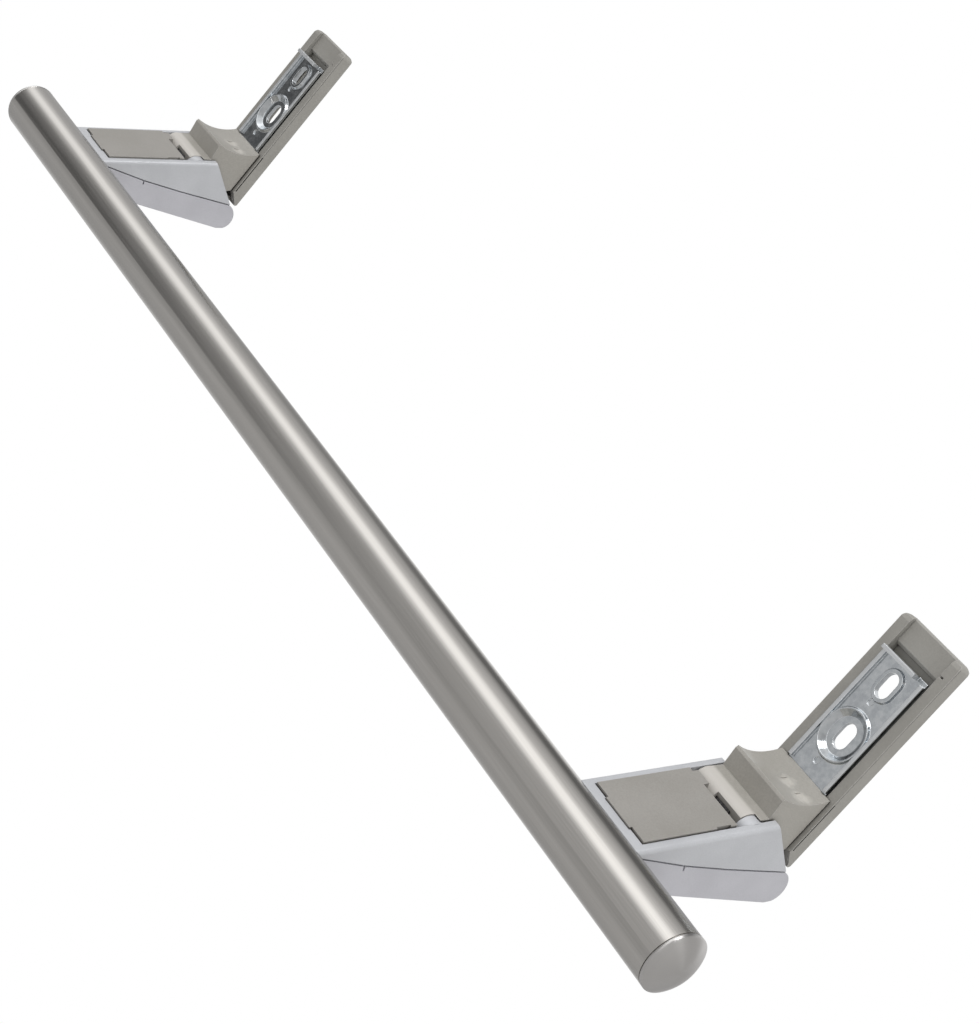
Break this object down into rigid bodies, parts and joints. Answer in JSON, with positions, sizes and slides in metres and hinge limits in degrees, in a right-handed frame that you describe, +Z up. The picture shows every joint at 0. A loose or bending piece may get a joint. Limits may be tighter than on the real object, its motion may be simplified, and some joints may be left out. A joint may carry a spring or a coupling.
{
  "type": "fridge door handle",
  "caption": "Round steel bar handle for a fridge door, held by two angled lever brackets that push the door open as the bar is pulled.",
  "frame": {"origin": "middle of the four door screw slots, in the thickness of the two bearing plates", "axes": "+Z up along the bar, +X from the bearing plates towards the side face of the door, +Y rearwards, away from the person who pulls"},
  "size_m": [0.0761, 0.11, 0.501],
  "materials": {
    "bar_steel": "stainless tube, brushed along its length",
    "turned_steel": "stainless cap, turned face",
    "arm_paint": "die casting with silver paint, satin",
    "shell_paint": "moulding with silver paint, satin",
    "cover_plastic": "moulded, fine matte grain",
    "screw_steel": "zinc-plated",
    "insert_metal": "turned",
    "pin_steel": "ground",
    "spring_steel": "drawn wire",
    "zinc_plate": "pressed sheet, bright zinc plating",
    "block_plastic": "moulded, satin",
    "plate_plastic": "moulded, fine matte grain"
  },
  "bodies": {
    "door_fixings": {"bearing_plate_lower": "zinc_plate", "bearing_plate_upper": "zinc_plate", "bearing_block_lower": "block_plastic", "bearing_block_upper": "block_plastic"},
    "handle": {"bar_tube": "bar_steel", "end_cap_lower": "turned_steel", "end_cap_upper": "turned_steel", "arm_lower": "arm_paint", "arm_upper": "arm_paint", "arm_shell_lower": "shell_paint", "arm_shell_upper": "shell_paint", "screw_cover_lower": "cover_plastic", "screw_cover_upper": "cover_plastic", "bar_screw_lower": "screw_steel", "bar_screw_upper": "screw_steel", "bar_insert_lower": "insert_metal", "bar_insert_upper": "insert_metal", "hinge_pin_lower": "pin_steel", "hinge_pin_upper": "pin_steel", "return_spring_lower": "spring_steel", "return_spring_upper": "spring_steel"},
    "pressure_plate_lower": {"pressure_plate_lower": "plate_plastic"},
    "pressure_plate_upper": {"pressure_plate_upper": "plate_plastic"}
  },
  "joints": [
    {"name": "handle_pivot", "type": "hinge", "parent": "door_fixings", "child": "handle", "pos_m": [0.02088, -0.0446, 0], "axis": [0, 0, -1], "range_deg": [0, 12], "stiffness_Nm_per_rad": 2, "springref_deg": -22.92},
    {"name": "pressure_slide_lower", "type": "slide", "parent": "door_fixings", "child": "pressure_plate_lower", "axis": [0, 1, 0], "range_m": [0, 0.0048]},
    {"name": "pressure_slide_upper", "type": "slide", "parent": "door_fixings", "child": "pressure_plate_upper", "axis": [0, 1, 0], "range_m": [0, 0.0048]}
  ],
  "couplings": [
    {"joint": "pressure_slide_lower", "follows": "handle_pivot", "m_per_rad": 0.0206},
    {"joint": "pressure_slide_upper", "follows": "handle_pivot", "m_per_rad": 0.0206}
  ]
}
